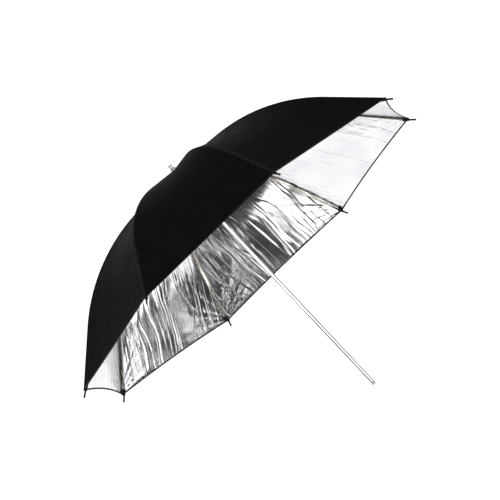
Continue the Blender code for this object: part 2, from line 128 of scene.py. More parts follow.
def addNode(tree, kind, inputs=None, **settings):
    node = tree.nodes.new(kind)
    for key, value in settings.items():
        setattr(node, key, value)
    for key, value in (inputs or {}).items():
        if isinstance(value, bpy.types.NodeSocket):
            tree.links.new(value, node.inputs[key])
        else:
            node.inputs[key].default_value = value
    return node


def setStudio():
    floorHeight = cadBox[0][2] - studio["floorDrop"]
    bpy.ops.mesh.primitive_plane_add(
        size=studio["floorSize"], location=(0, studio["floorShift"], floorHeight))
    floor = bpy.context.object
    floor.name = "studioFloor"
    paper, _, shader = newMaterial(
        "floorPaper", studio["paper"], metallic=0.0, roughness=0.9, specular=0.1)
    shader.inputs["Emission Color"].default_value = (1, 1, 1, 1)
    shader.inputs["Emission Strength"].default_value = studio["floorGlow"]
    floor.data.materials.append(paper)

    world = bpy.data.worlds.new("studioWorld")
    bpy.context.scene.world = world
    world.use_nodes = True
    tree = world.node_tree
    sky = tree.nodes["Background"]
    sight = addNode(tree, "ShaderNodeTexCoord")
    split = addNode(tree, "ShaderNodeSeparateXYZ", {0: sight.outputs["Generated"]})
    riseStart, riseEnd = studio["skyRise"]
    rise = addNode(tree, "ShaderNodeMapRange", {
        "Value": split.outputs["Z"], "From Min": riseStart, "From Max": riseEnd,
        "To Min": studio["skyHorizon"], "To Max": studio["skyTop"],
    }, interpolation_type="SMOOTHSTEP")
    seen = addNode(tree, "ShaderNodeLightPath")
    blend = addNode(tree, "ShaderNodeMix", {
        0: seen.outputs["Is Camera Ray"], 2: rise.outputs[0], 3: studio["backdrop"],
    }, data_type="FLOAT")
    tree.links.new(blend.outputs[0], sky.inputs["Strength"])
    sky.inputs["Color"].default_value = (1, 1, 1, 1)

    for name, place, aim, width, height, watts in studio["lights"]:
        bpy.ops.object.light_add(type="AREA", location=place)
        lamp = bpy.context.object
        lamp.name = name
        lamp.data.shape = "RECTANGLE"
        lamp.data.size, lamp.data.size_y = width, height
        lamp.data.energy = watts
        lamp.rotation_euler = (Vector(aim) - Vector(place)).to_track_quat("-Z", "Y").to_euler()
    bpy.context.scene.view_settings.view_transform = "Standard"


placeCamera()
setStudio()
print("camera and studio ready")

# the fabric's shape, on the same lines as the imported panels

dish = {
    "ribs": 8,
    "apex": 0.4675,
    "hole": 0.0052,
    "hem": 0.4106,
    "innerSlope": 9.0,
    "outerSlope": 45.0,
    "bendStart": 0.116,
    "bendEnd": 0.3254,
    "sag": 0.0075,
    "sagWave": 0.8,          # half waves of it from the middle to the hem
    "scallop": 0.0070,
}

cloth = {
    "inset": 0.0010,         # the cloth's outer face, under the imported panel's
    "thickness": 0.0005,
    "seamEdge": 0.0034,      # the felled seam's half width over a rib
    "seamBlend": 0.0005,
    "seamStart": 0.012,      # the radius that the seam grows from
    "seamRun": 0.02,
    "seamRise": 0.00035,
    "seamInner": 0.0005,
    "seamColumns": (0.0, 0.0011, 0.0022, 0.0029, 0.0033, 0.0046),
    "leastHalf": 0.012,      # stops those columns running past the gore near the hole
    "tapeHalf": 0.0005,      # half the hem binding's thickness
    "tapeSteps": (0, 0.00025, 0.0006, 0.0033, 0.0036),      # from the hem
    "tapeRound": (0.00010, 0.00034),
    "tapeRows": 5,
    "hemRows": (0.0, 0.00025, 0.0006, 0.0018, 0.0033, 0.0036, 0.0052, 0.0075),
    "hemMargin": 0.0100,     # left by the plain rows
    "rowStep": 0.0040,
    "columns": 68,           # from the seam to the middle of a gore
    "goreShift": 0.5,        # between two gores on their map
    "bands": (               # name, radius that it ends at, share kept when the umbrella is shut
        ("Crown", 0.070, 0.60),
        ("Shoulder", 0.200, 0.40),
        ("Skirt", 0.4106, 0.27),
    ),
}

creasing = {
    "seed": 41,
    "seedStep": 7,
    "creases": 34,
    "height": (0.00003, 0.00012),
    "halfWidth": (0.0018, 0.0042),
    "hemShare": 0.92,        # how far out a crease ends, as a share of half the gore
    "topShare": (0.3, 1.1),
    "topShift": 0.35,
    "start": (0.05, 0.24),   # along the gore
    "end": (0.30, 0.47),
    "bow": 0.012,
    "topSpread": 0.36,
    "hemSpread": 0.145,
    "fade": (6, 0.15),
    "crumple": 0.00004,
    "crumpleCell": 0.017,
    "fineShare": 0.45,
    "fineCell": 0.0085,
    "tipFold": 0.0008,
    "tipReach": 0.055,
    "tipPlace": 0.157,       # from the gore's middle
    "tipFans": (26, 43),
    "tipStart": 0.03,
    "ribFree": 0.004,        # nothing lifts off a rib
    "ribBlend": 0.012,
    "crownBlend": 0.05,
}

pitch = 2 * math.pi / dish["ribs"]
innerAngle, outerAngle = math.radians(dish["innerSlope"]), math.radians(dish["outerSlope"])
sinHalf, cosHalf = math.sin(pitch / 2), math.cos(pitch / 2)
sinInner, sinOuter = math.sin(innerAngle), math.sin(outerAngle)
bendRadius = (dish["bendEnd"] - dish["bendStart"]) / (sinOuter - sinInner)


def slopeAt(radius):
    bent = np.clip(radius, dish["bendStart"], dish["bendEnd"])
    return np.arcsin(sinInner + (bent - dish["bendStart"]) / bendRadius)


def heightAt(radius):
    bent = np.clip(radius, dish["bendStart"], dish["bendEnd"])
    drop = np.minimum(radius, dish["bendStart"]) * math.tan(innerAngle)
    drop = drop + bendRadius * (math.cos(innerAngle) - np.cos(slopeAt(bent)))
    drop = drop + (np.maximum(radius, dish["bendEnd"]) - dish["bendEnd"]) * math.tan(outerAngle)
    return dish["apex"] - drop


tableSize = 4001
radiusTable = np.linspace(dish["hole"], dish["hem"], tableSize)
middleRadii = (radiusTable[1:] + radiusTable[:-1]) / 2
lengthTable = np.concatenate(([0.0], np.cumsum(
    (radiusTable[1] - radiusTable[0]) / np.cos(slopeAt(middleRadii)))))
ribLength = float(lengthTable[-1])


def clothFace(ribNumber, across, along):
    # across runs from -1 to 1 between the middles of two gores, and goes on into the next panel
    shift = np.rint(across / 2)
    local = across - 2 * shift
    side, hand = np.abs(local), np.sign(local)
    full = 2 * side - side ** 2
    hemHere = dish["hem"] - dish["scallop"] * full * math.cos(outerAngle)
    radius = dish["hole"] + (hemHere - dish["hole"]) * along
    slope = slopeAt(radius)
    sag = dish["sag"] * np.sin(dish["sagWave"] * np.pi * radius / dish["hem"]) * full
    x = radius * (1 - side * sinHalf ** 2) - sag * np.sin(slope) * cosHalf
    y = hand * (radius * side * sinHalf * cosHalf - sag * np.sin(slope) * sinHalf)
    z = heightAt(radius) - sag * np.cos(slope)
    turn = (ribNumber - 1 + shift) * pitch
    return np.stack((
        x * np.cos(turn) - y * np.sin(turn), z, -x * np.sin(turn) - y * np.cos(turn)), axis=-1)


def softNoise(draw, u, v, cell):
    # smooth value noise on a seeded lattice, u and v in metres
    size, offset = 128, 40   # the offset keeps both above zero
    lattice = draw.random((size, size)) * 2 - 1
    u, v = u / cell + offset, v / cell + offset
    column, row = np.floor(u).astype(int), np.floor(v).astype(int)
    right, above = (column + 1) % size, (row + 1) % size
    fu, fv = u - column, v - row
    fu, fv = fu * fu * (3 - 2 * fu), fv * fv * (3 - 2 * fv)
    a = lattice[column % size, row % size] * (1 - fu) + lattice[right, row % size] * fu
    b = lattice[column % size, above] * (1 - fu) + lattice[right, above] * fu
    return a * (1 - fv) + b * fv


def creaseHeight(gore, lateral, length, halfWidth):
    # how far the film stands off its smooth shape: lateral is measured from the gore's middle
    draw = np.random.default_rng(creasing["seed"] + creasing["seedStep"] * int(gore))

    def eitherWay(limit):
        return draw.uniform(-limit, limit)

    height = np.zeros_like(lateral)
    steep, least = creasing["fade"]
    for _ in range(creasing["creases"]):
        hemShare = eitherWay(creasing["hemShare"])
        topShare = hemShare * draw.uniform(*creasing["topShare"]) + eitherWay(creasing["topShift"])
        start, end = draw.uniform(*creasing["start"]), draw.uniform(*creasing["end"])
        rise = draw.uniform(*creasing["height"]) * draw.choice((-1.0, 1.0, 1.0))
        width = draw.uniform(*creasing["halfWidth"])
        bow = eitherWay(creasing["bow"])
        topLateral = topShare * start * creasing["topSpread"]
        hemLateral = hemShare * creasing["hemSpread"] * (end / ribLength)
        t = (length - start) / (end - start)
        middle = topLateral + (hemLateral - topLateral) * t + bow * 4 * t * (1 - t)
        fade = np.clip(np.minimum(t, 1 - t) * steep + least, 0, 1)
        height += rise * fade * np.exp(-((lateral - middle) / width) ** 2)
    height += creasing["crumple"] * softNoise(draw, lateral, length, creasing["crumpleCell"])
    height += creasing["fineShare"] * creasing["crumple"] * softNoise(
        draw, lateral, length, creasing["fineCell"])
    wide, fine = creasing["tipFans"]
    for hand in (-1, 1):
        offX, offY = lateral - hand * creasing["tipPlace"], length - ribLength
        reach = np.hypot(offX, offY)
        angle = np.arctan2(offY, hand * offX)
        fold = np.sin(angle * wide + draw.uniform(0, 6)) + 0.5 * np.sin(angle * fine + draw.uniform(0, 6))
        near = np.exp(-reach / creasing["tipReach"])
        height += creasing["tipFold"] * 0.5 * fold * near * np.clip(reach / creasing["tipStart"], 0, 1)
    free = np.clip((halfWidth - np.abs(lateral) - creasing["ribFree"]) / creasing["ribBlend"], 0, 1)
    held = height * free * free * (3 - 2 * free)
    return held * np.clip(length / creasing["crownBlend"], 0, 1)


def panelGrid():
    plainEnd, hemRows = ribLength - cloth["hemMargin"], np.array(cloth["hemRows"])
    plain = np.linspace(0.0, plainEnd, int(round(plainEnd / cloth["rowStep"])) + 1)
    lengths = np.concatenate((plain, ribLength - hemRows[::-1]))
    radii = np.interp(lengths, lengthTable, radiusTable)
    hair = 1e-9              # a band's own end counts as reached
    edges = [radii.searchsorted(bandEnd - hair) for _, bandEnd, _ in cloth["bands"]]
    half = radii * sinHalf * cosHalf
    seamColumns = np.array(cloth["seamColumns"])
    nearRib = seamColumns[None, :] / np.maximum(half, cloth["leastHalf"])[:, None]
    spread = np.linspace(0, 1, cloth["columns"] + 1)[1:]
    farther = nearRib[:, -1:] + (1 - nearRib[:, -1:]) * spread[None, :]
    positive = np.concatenate((nearRib, farther), axis=1)
    ghost = 2 - positive[:, -2:-1]
    positive = np.concatenate((positive, ghost), axis=1)
    across = np.concatenate((-positive[:, :0:-1], positive), axis=1)
    return lengths, radii, half, across, edges


def gridNormals(points):
    downRows = np.gradient(points, axis=0)
    overColumns = np.gradient(points, axis=1)
    normals = np.cross(downRows, overColumns)
    return normals / np.linalg.norm(normals, axis=-1, keepdims=True)


def panelLayers(ribNumber, lengths, radii, half, across):
    along = ((radii - dish["hole"]) / (dish["hem"] - dish["hole"]))[:, None] * np.ones_like(across)
    face = clothFace(ribNumber, across, along)
    normals = gridNormals(face)
    fromRib = np.abs(across - 2 * np.rint(across / 2)) * half[:, None]
    lateral = np.where(across > 0, (across - 1), (across + 1)) * half[:, None]
    lengthGrid = lengths[:, None] * np.ones_like(across)
    lift = np.zeros_like(across)
    for gore, part in ((ribNumber - 1, across > 0), (ribNumber - 2, across <= 0)):
        raised = creaseHeight(gore % dish["ribs"], lateral, lengthGrid, half[:, None])
        lift = np.where(part, raised, lift)
    seam = np.clip((cloth["seamEdge"] - fromRib) / cloth["seamBlend"], 0, 1)
    seam = seam * np.clip((radii[:, None] - cloth["seamStart"]) / cloth["seamRun"], 0, 1)
    fromHem = ribLength - lengthGrid
    halfCloth = np.interp(fromHem, cloth["tapeSteps"], (
        *cloth["tapeRound"], cloth["tapeHalf"], cloth["tapeHalf"], cloth["thickness"] / 2))
    middle = -cloth["inset"] - cloth["thickness"] / 2 + lift
    outer = face + normals * (middle + halfCloth + seam * cloth["seamRise"])[..., None]
    inner = face + normals * (middle - halfCloth - seam * cloth["seamInner"])[..., None]
    return outer, inner, gridNormals(outer), -gridNormals(inner), lateral, lengthGrid


def panelPiece(name, ribNumber, layers, first, last, isHem):
    outer, inner, outerNormals, innerNormals, lateral, lengthGrid = [
        layer[first:last + 1, 1:-1] for layer in layers]
    rows, columns = lateral.shape
    count = rows * columns
    points = np.concatenate((outer.reshape(-1, 3), inner.reshape(-1, 3)))
    normals = np.concatenate((outerNormals.reshape(-1, 3), innerNormals.reshape(-1, 3)))
    i, j = np.meshgrid(np.arange(rows - 1), np.arange(columns - 1), indexing="ij")
    a = (i * columns + j).ravel()
    b, c, d = a + columns, a + columns + 1, a + 1
    outerFaces = np.stack((a, b, c, d), axis=1)
    innerFaces = np.stack((a, d, c, b), axis=1) + count
    down = np.arange(rows - 1) * columns
    over = np.arange(columns - 1)
    rightEdge, lastRow = down + columns - 1, over + (rows - 1) * columns
    walls = np.concatenate((
        np.stack((down, down + count, down + columns + count, down + columns), axis=1),
        np.stack((rightEdge, rightEdge + columns, rightEdge + columns + count, rightEdge + count), axis=1),
        np.stack((over, over + 1, over + 1 + count, over + count), axis=1),
        np.stack((lastRow, lastRow + count, lastRow + 1 + count, lastRow + 1), axis=1),
    ))
    faces = np.concatenate((outerFaces, innerFaces, walls))
    mesh = bpy.data.meshes.new(name)
    mesh.from_pydata(points.tolist(), [], faces.tolist())
    panel = bpy.data.objects.new(name, mesh)
    bpy.context.scene.collection.objects.link(panel)
    for surface in (blackCloth, silverFilm, hemTape):
        mesh.materials.append(surface)

    clothSlot, filmSlot, tapeSlot = 0, 1, 2
    onTape = (i.ravel() >= rows - 1 - cloth["tapeRows"]) & isHem
    slots = np.concatenate((
        np.where(onTape, tapeSlot, clothSlot), np.where(onTape, tapeSlot, filmSlot),
        np.full(len(walls), tapeSlot if isHem else clothSlot)))
    mesh.polygons.foreach_set("material_index", slots.astype(np.int32))
    mesh.polygons.foreach_set("use_smooth", np.ones(len(faces), bool))

    corner = faces.ravel()
    faceOfCorner = np.repeat(np.arange(len(faces)), 4)
    flatLateral = np.tile(lateral.ravel(), 2)[corner]
    flatLength = np.tile(lengthGrid.ravel(), 2)[corner]
    middleColumn = (columns - 1) // 2
    cornerColumn = (corner % count) % columns
    faceRight = np.repeat((cornerColumn.reshape(-1, 4).mean(axis=1) > middleColumn), 4)
    ribColumn = lateral[:, middleColumn:middleColumn + 1].repeat(columns, axis=1)
    halfHere = np.abs(np.tile(ribColumn.ravel(), 2)[corner])
    atRib = cornerColumn == middleColumn
    u = np.where(atRib, np.where(faceRight, -halfHere, halfHere), flatLateral)
    gore = np.where(faceRight, ribNumber - 1, ribNumber - 2) % dish["ribs"]
    goreMap = mesh.uv_layers.new(name="goreMap")
    goreMap.data.foreach_set("uv", np.stack((u + gore * cloth["goreShift"], flatLength), axis=1).ravel())
    seamMap = mesh.uv_layers.new(name="seamMap")
    fromRib = np.where(faceRight, halfHere + u, halfHere - u)
    seamMap.data.foreach_set("uv", np.stack((fromRib, ribLength - flatLength), axis=1).ravel())

    mesh.update()
    cornerNormals = normals[corner]
    isWall = faceOfCorner >= 2 * len(outerFaces)
    flat = np.empty(len(faces) * 3)
    mesh.polygons.foreach_get("normal", flat)
    cornerNormals[isWall] = flat.reshape(-1, 3)[faceOfCorner[isWall]]
    mesh.normals_split_custom_set(cornerNormals.tolist())
    return panel


# materials for the fabric

blackCloth, clothTree, clothShader = newMaterial(
    "blackUmbrellaCloth", (0.0085, 0.0085, 0.0105), metallic=0.0, roughness=0.62, specular=0.008)
silverFilm, filmTree, filmShader = newMaterial(
    "silverReflectorFilm", (0.74, 0.73, 0.745), metallic=1.0, roughness=0.14)
hemTape, tapeTree, tapeShader = newMaterial(
    "blackHemTape", (0.010, 0.010, 0.011), metallic=0.0, roughness=0.6, specular=0.25)

middleBand, wideBand = (0.35, 0.65), (0.3, 0.7)      # where a noise's values mostly lie


def newGroup(name, outputs, inputs=(("Vector", "NodeSocketVector"),)):
    group = bpy.data.node_groups.new(name, "ShaderNodeTree")
    for socket, kind in inputs:
        group.interface.new_socket(socket, in_out="INPUT", socket_type=kind)
    for socket in outputs:
        group.interface.new_socket(socket, in_out="OUTPUT", socket_type="NodeSocketFloat")
    return group, addNode(group, "NodeGroupInput"), addNode(group, "NodeGroupOutput")


def mathNode(tree, operation, first, second=0.0):
    return addNode(tree, "ShaderNodeMath", {0: first, 1: second}, operation=operation).outputs[0]


def spreadNode(tree, value, low, high, newLow, newHigh):
    return addNode(tree, "ShaderNodeMapRange", {
        "Value": value, "From Min": low, "From Max": high,
        "To Min": newLow, "To Max": newHigh}).outputs[0]


def mixColours(tree, share, first, second):
    return addNode(tree, "ShaderNodeMix", {0: share, 6: first, 7: second}, data_type="RGBA").outputs[2]


filmLook = {
    "lines": (               # degrees, scale, weight
        (2, (46, 1.6, 1), 1.0),
        (-11, (24, 1.8, 1), 0.8),
        (14, (20, 1.8, 1), 0.7),
    ),
    "lineWidth": 0.034,
    "swayScale": 9.0,
    "sway": 0.020,
    "patchScale": 17.0,
    "patchBand": (0.42, 0.66),
    "patchShare": (0.10, 1.0),
    "crinkleScale": 260.0,
    "crinkle": 0.24,
    "facetScale": 70.0,
    "facets": 0.12,
    "depth": 0.00018,
    "roughness": (0.09, 0.20),
    "clear": (0.71, 0.70, 0.715, 1),
    "hazy": (0.65, 0.64, 0.665, 1),
}


def filmGroup():
    group, start, end = newGroup("filmCreases", ("Height", "Haze"))
    place = start.outputs["Vector"]
    sway = addNode(group, "ShaderNodeTexNoise", {
        "Vector": place, "Scale": filmLook["swayScale"], "Detail": 1.0})
    swayed = addNode(group, "ShaderNodeVectorMath", {0: sway.outputs["Color"]}, operation="SCALE")
    swayed.inputs["Scale"].default_value = filmLook["sway"]
    moved = addNode(group, "ShaderNodeVectorMath", {
        0: place, 1: swayed.outputs[0]}, operation="ADD").outputs[0]
    total = None
    for angle, scale, weight in filmLook["lines"]:
        laid = addNode(group, "ShaderNodeMapping", {
            "Vector": moved, "Rotation": (0, 0, math.radians(angle)), "Scale": scale})
        lines = addNode(group, "ShaderNodeTexNoise", {
            "Vector": laid.outputs[0], "Scale": 1.0, "Detail": 2.0, "Roughness": 0.5},
            noise_dimensions="2D")
        # the folds stand where the noise crosses its middle value
        away = mathNode(group, "ABSOLUTE", mathNode(group, "SUBTRACT", lines.outputs[0], 0.5))
        fold = spreadNode(group, away, 0.0, filmLook["lineWidth"], weight, 0.0)
        total = fold if total is None else mathNode(group, "ADD", total, fold)
    patches = addNode(group, "ShaderNodeTexNoise", {
        "Vector": place, "Scale": filmLook["patchScale"], "Detail": 2.0})
    patchy = spreadNode(group, patches.outputs[0], *filmLook["patchBand"], *filmLook["patchShare"])
    crumple = addNode(group, "ShaderNodeTexNoise", {
        "Vector": place, "Scale": filmLook["crinkleScale"], "Detail": 3.0, "Roughness": 0.6,
        "Distortion": 0.2}, noise_dimensions="2D")
    cells = addNode(group, "ShaderNodeTexVoronoi", {
        "Vector": moved, "Scale": filmLook["facetScale"]},
        feature="DISTANCE_TO_EDGE", voronoi_dimensions="2D")
    small = mathNode(
        group, "ADD", mathNode(group, "MULTIPLY", crumple.outputs[0], filmLook["crinkle"]),
        mathNode(group, "MULTIPLY", cells.outputs[0], filmLook["facets"]))
    total = mathNode(group, "ADD", total, mathNode(group, "MULTIPLY", small, patchy))
    group.links.new(total, end.inputs["Height"])
    group.links.new(patches.outputs[0], end.inputs["Haze"])
    return group


clothLook = {
    "threadScale": 260.0,
    "threadBend": 0.6,
    "slubScale": 28.0,
    "weave": 0.25,           # beside a stitch's height of one
}


def clothGroup():
    # a plain weave on the cloth's own map, with slubs that change it over a few centimetres
    group, start, end = newGroup("plainWeave", ("Height", "Slub"))
    place = start.outputs["Vector"]
    threads = []
    for direction in ("X", "Y"):
        wave = addNode(group, "ShaderNodeTexWave", {
            "Vector": place, "Scale": clothLook["threadScale"],
            "Distortion": clothLook["threadBend"], "Detail": 1.0}, bands_direction=direction)
        threads.append(wave.outputs["Fac"])
    weave = mathNode(group, "MAXIMUM", threads[0], threads[1])
    slubs = addNode(group, "ShaderNodeTexNoise", {
        "Vector": place, "Scale": clothLook["slubScale"], "Detail": 4.0, "Roughness": 0.65})
    group.links.new(weave, end.inputs["Height"])
    group.links.new(slubs.outputs[0], end.inputs["Slub"])
    return group


creaseGroup, weaveGroup = filmGroup(), clothGroup()

filmMap = addNode(filmTree, "ShaderNodeUVMap", uv_map="goreMap")
creases = addNode(filmTree, "ShaderNodeGroup", {}, node_tree=creaseGroup)
filmTree.links.new(filmMap.outputs[0], creases.inputs["Vector"])
filmBump = addNode(filmTree, "ShaderNodeBump", {
    "Strength": 1.0, "Distance": filmLook["depth"], "Height": creases.outputs["Height"]})
filmTree.links.new(filmBump.outputs[0], filmShader.inputs["Normal"])
filmRough = spreadNode(filmTree, creases.outputs["Haze"], *wideBand, *filmLook["roughness"])
filmTree.links.new(filmRough, filmShader.inputs["Roughness"])
hazeShare = spreadNode(filmTree, creases.outputs["Haze"], *middleBand, 0.0, 1.0)
filmTint = mixColours(filmTree, hazeShare, filmLook["clear"], filmLook["hazy"])
filmTree.links.new(filmTint, filmShader.inputs["Base Color"])

stitching = {
    "row": 0.0021,           # metres from the seam
    "rowEdge": (0.00025, 0.00045),
    "beat": 0.0016,
    "gap": (0.0002, 0.0005),
    "ridge": (0.0028, 0.0036),
    # share of the painted highlight: the raised seam over each rib is painted lighter, towards the next
    # colour
    "wearAndHighlight": 0.45,
    "ridgeHighlight": (0.030, 0.030, 0.033, 1),
    "thread": (0.045, 0.045, 0.048, 1),
}


def dressWoven(tree, shader, darker, lighter, rough, depth):
    # stitching shows only where the second map is near a seam
    place = addNode(tree, "ShaderNodeUVMap", uv_map="goreMap")
    weave = addNode(tree, "ShaderNodeGroup", {}, node_tree=weaveGroup)
    tree.links.new(place.outputs[0], weave.inputs["Vector"])
    slubShare = spreadNode(tree, weave.outputs["Slub"], *middleBand, 0.0, 1.0)
    shade = mixColours(tree, slubShare, (*darker, 1), (*lighter, 1))
    seam = addNode(tree, "ShaderNodeUVMap", uv_map="seamMap")
    split = addNode(tree, "ShaderNodeSeparateXYZ", {0: seam.outputs[0]})
    fromRow = mathNode(tree, "SUBTRACT", split.outputs["X"], stitching["row"])
    onRow = spreadNode(tree, mathNode(tree, "ABSOLUTE", fromRow), *stitching["rowEdge"], 1.0, 0.0)
    beat = mathNode(tree, "PINGPONG", split.outputs["Y"], stitching["beat"])
    stitch = mathNode(tree, "MULTIPLY", onRow, spreadNode(tree, beat, *stitching["gap"], 0.0, 1.0))
    # painted highlight: where the seam stands raised over a rib, the cloth's colour is mixed towards a
    # lighter one
    ridge = spreadNode(tree, split.outputs["X"], *stitching["ridge"], 1.0, 0.0)
    ridgeHighlightShare = mathNode(tree, "MULTIPLY", ridge, stitching["wearAndHighlight"])
    ridgeHighlight = mixColours(tree, ridgeHighlightShare, shade, stitching["ridgeHighlight"])
    sewn = mixColours(tree, stitch, ridgeHighlight, stitching["thread"])
    tree.links.new(sewn, shader.inputs["Base Color"])
    gloss = spreadNode(tree, weave.outputs["Slub"], *wideBand, *rough)
    tree.links.new(gloss, shader.inputs["Roughness"])
    threads = mathNode(tree, "MULTIPLY", weave.outputs["Height"], clothLook["weave"])
    height = mathNode(tree, "ADD", threads, stitch)
    bump = addNode(tree, "ShaderNodeBump", {"Strength": 0.7, "Distance": depth, "Height": height})
    tree.links.new(bump.outputs[0], shader.inputs["Normal"])


dressWoven(clothTree, clothShader, darker=(0.0072, 0.0072, 0.0088), lighter=(0.0105, 0.0105, 0.0130),
           rough=(0.55, 0.72), depth=0.00012)
dressWoven(tapeTree, tapeShader, darker=(0.004, 0.004, 0.005), lighter=(0.008, 0.008, 0.009),
           rough=(0.55, 0.70), depth=0.00018)
print("cloth and film finishes ready")

# the canopy, sewn in three bands over each rib

lengths, radii, half, across, bandEdges = panelGrid()
for ribNumber in range(1, dish["ribs"] + 1):
    layers = panelLayers(ribNumber, lengths, radii, half, across)
    turn = (ribNumber - 1) * pitch
    first = 0
    for (bandName, _, keep), last in zip(cloth["bands"], bandEdges):
        last = min(int(last), len(lengths) - 1)
        panel = panelPiece(
            f"canopy{bandName}{ribNumber}", ribNumber, layers, first, last, bandName == "Skirt")
        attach(panel, f"rib_{ribNumber}")
        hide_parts(f"canopy_panel_{ribNumber}")
        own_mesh(panel)
        first = last
print("canopy sewn:", dish["ribs"] * len(cloth["bands"]), "pieces")

# finishes for the shaft, ribs and plastic

wearLook = {
    "smudgeScale": 34.0,
    "grainScale": 900.0,
}

finishes = {
    "shaftChrome": {
        "colours": ((0.94, 0.94, 0.95), (0.90, 0.90, 0.91)), "metallic": 1.0, "rough": (0.04, 0.09),
        "stretch": (1400, 14, 1400), "grain": 0.1, "depth": 0.000006, "specular": 0.5,
    },
    "ribSteel": {
        "colours": ((0.93, 0.91, 0.85), (0.86, 0.83, 0.76)), "metallic": 1.0, "rough": (0.07, 0.16),
        "stretch": (700, 60, 700), "grain": 0.2, "depth": 0.000015, "specular": 0.5,
    },
    "wireSteel": {
        "colours": ((0.66, 0.66, 0.67), (0.52, 0.51, 0.50)), "metallic": 1.0, "rough": (0.22, 0.38),
        "stretch": (500, 500, 500), "grain": 0.4, "depth": 0.00002, "specular": 0.5,
    },
    "mouldedBlack": {
        "colours": ((0.006, 0.006, 0.007), (0.011, 0.011, 0.012)), "metallic": 0.0, "rough": (0.36, 0.52),
        "stretch": (300, 300, 300), "grain": 1.6, "depth": 0.00004, "specular": 0.16,
    },
    "plugGrey": {
        "colours": ((0.60, 0.61, 0.63), (0.50, 0.51, 0.53)), "metallic": 0.0, "rough": (0.32, 0.48),
        "stretch": (300, 300, 300), "grain": 1.2, "depth": 0.00003, "specular": 0.45,
    },
}


def wearGroup():
    group, start, end = newGroup("handlingWear", ("Smudge", "Grain", "Scratch"), (
        ("Vector", "NodeSocketVector"), ("Stretch", "NodeSocketVector")))
    place = start.outputs["Vector"]
    smudge = addNode(group, "ShaderNodeTexNoise", {
        "Vector": place, "Scale": wearLook["smudgeScale"], "Detail": 3.0, "Roughness": 0.6})
    grain = addNode(group, "ShaderNodeTexNoise", {
        "Vector": place, "Scale": wearLook["grainScale"], "Detail": 2.0})
    drawn = addNode(group, "ShaderNodeVectorMath", {
        0: place, 1: start.outputs["Stretch"]}, operation="MULTIPLY")
    scratch = addNode(group, "ShaderNodeTexNoise", {
        "Vector": drawn.outputs[0], "Scale": 1.0, "Detail": 3.0, "Roughness": 0.7})
    for socket, node in (("Smudge", smudge), ("Grain", grain), ("Scratch", scratch)):
        group.links.new(node.outputs[0], end.inputs[socket])
    return group


handlingWear = wearGroup()


def hardwareFinish(name, colours, metallic, rough, stretch, grain, depth, specular):
    surface, tree, shader = newMaterial(name, colours[0], metallic, rough[0], specular)
    place = addNode(tree, "ShaderNodeTexCoord")
    wearAndHighlight = addNode(tree, "ShaderNodeGroup", {}, node_tree=handlingWear)
    wearAndHighlight.inputs["Stretch"].default_value = stretch
    tree.links.new(place.outputs["Object"], wearAndHighlight.inputs["Vector"])
    smudged = spreadNode(tree, wearAndHighlight.outputs["Smudge"], *middleBand, 0.0, 1.0)
    shade = mixColours(tree, smudged, (*colours[0], 1), (*colours[1], 1))
    tree.links.new(shade, shader.inputs["Base Color"])
    mixed = mathNode(tree, "ADD", mathNode(tree, "MULTIPLY", wearAndHighlight.outputs["Smudge"], 0.5),
                     mathNode(tree, "MULTIPLY", wearAndHighlight.outputs["Scratch"], 0.5))
    tree.links.new(spreadNode(tree, mixed, *middleBand, *rough), shader.inputs["Roughness"])
    grained = mathNode(tree, "MULTIPLY", wearAndHighlight.outputs["Grain"], grain)
    height = mathNode(tree, "ADD", grained, wearAndHighlight.outputs["Scratch"])
    bump = addNode(tree, "ShaderNodeBump", {"Strength": 0.6, "Distance": depth, "Height": height})
    tree.links.new(bump.outputs[0], shader.inputs["Normal"])
    return surface


shaftChrome, ribSteel, wireSteel, blackPlastic, greyPlastic = [
    hardwareFinish(name, **values) for name, values in finishes.items()]
print("hardware finishes ready")

# steps that the shaft, crown and ribs share

modelling = {
    "pole": 1e-5,            # a ring's least radius
    "merge": 0.00003,
    "packedMerge": 0.000002,
    "flatAngle": 0.6,
    "ease": 0.00012,         # rivets, stretchers and the washer
    "mouldedEase": 0.00016,
    "longSmooth": 30,        # degrees, for ribs and stretchers
}


def clearSelection():
    if bpy.context.object and bpy.context.object.mode != "OBJECT":
        bpy.ops.object.mode_set(mode="OBJECT")
    bpy.ops.object.select_all(action="DESELECT")


def makeActive(piece):
    clearSelection()
    piece.select_set(True)
    bpy.context.view_layer.objects.active = piece


def growRings(name, rings, sides, closed=False):
    # a turned piece, grown from one ring to the next along Y: rings are (radius, height)
    clearSelection()
    firstRadius, firstHeight = max(rings[0][0], modelling["pole"]), rings[0][1]
    bpy.ops.mesh.primitive_circle_add(
        vertices=sides, radius=firstRadius, fill_type="NOTHING",
        location=(0, firstHeight, 0), rotation=(math.pi / 2, 0, 0))
    piece = bpy.context.object
    piece.name = piece.data.name = name
    bpy.ops.object.transform_apply(location=True, rotation=True, scale=True)
    bpy.ops.object.mode_set(mode="EDIT")
    bpy.ops.mesh.select_mode(type="VERT")
    bpy.ops.mesh.select_all(action="SELECT")
    lastRadius, lastHeight = firstRadius, firstHeight
    for radius, height in rings[1:]:
        radius = max(radius, modelling["pole"])
        bpy.ops.mesh.extrude_region_move(
            TRANSFORM_OT_translate={"value": (0, height - lastHeight, 0)})
        grow = radius / lastRadius
        bpy.ops.transform.resize(value=(grow, 1, grow), center_override=(0, height, 0))
        lastRadius, lastHeight = radius, height
    bpy.ops.mesh.select_all(action="SELECT")
    bpy.ops.mesh.remove_doubles(threshold=modelling["merge"])
    if not closed:
        bpy.ops.mesh.select_all(action="DESELECT")
        bpy.ops.mesh.select_mode(type="EDGE")
        bpy.ops.mesh.select_non_manifold(
            extend=False, use_boundary=True, use_wire=True, use_multi_face=False,
            use_non_contiguous=False, use_verts=False)
        bpy.ops.mesh.fill_holes(sides=0)
        bpy.ops.mesh.select_mode(type="VERT")
    bpy.ops.mesh.select_all(action="SELECT")
    bpy.ops.mesh.normals_make_consistent(inside=False)
    bpy.ops.object.mode_set(mode="OBJECT")
    return piece


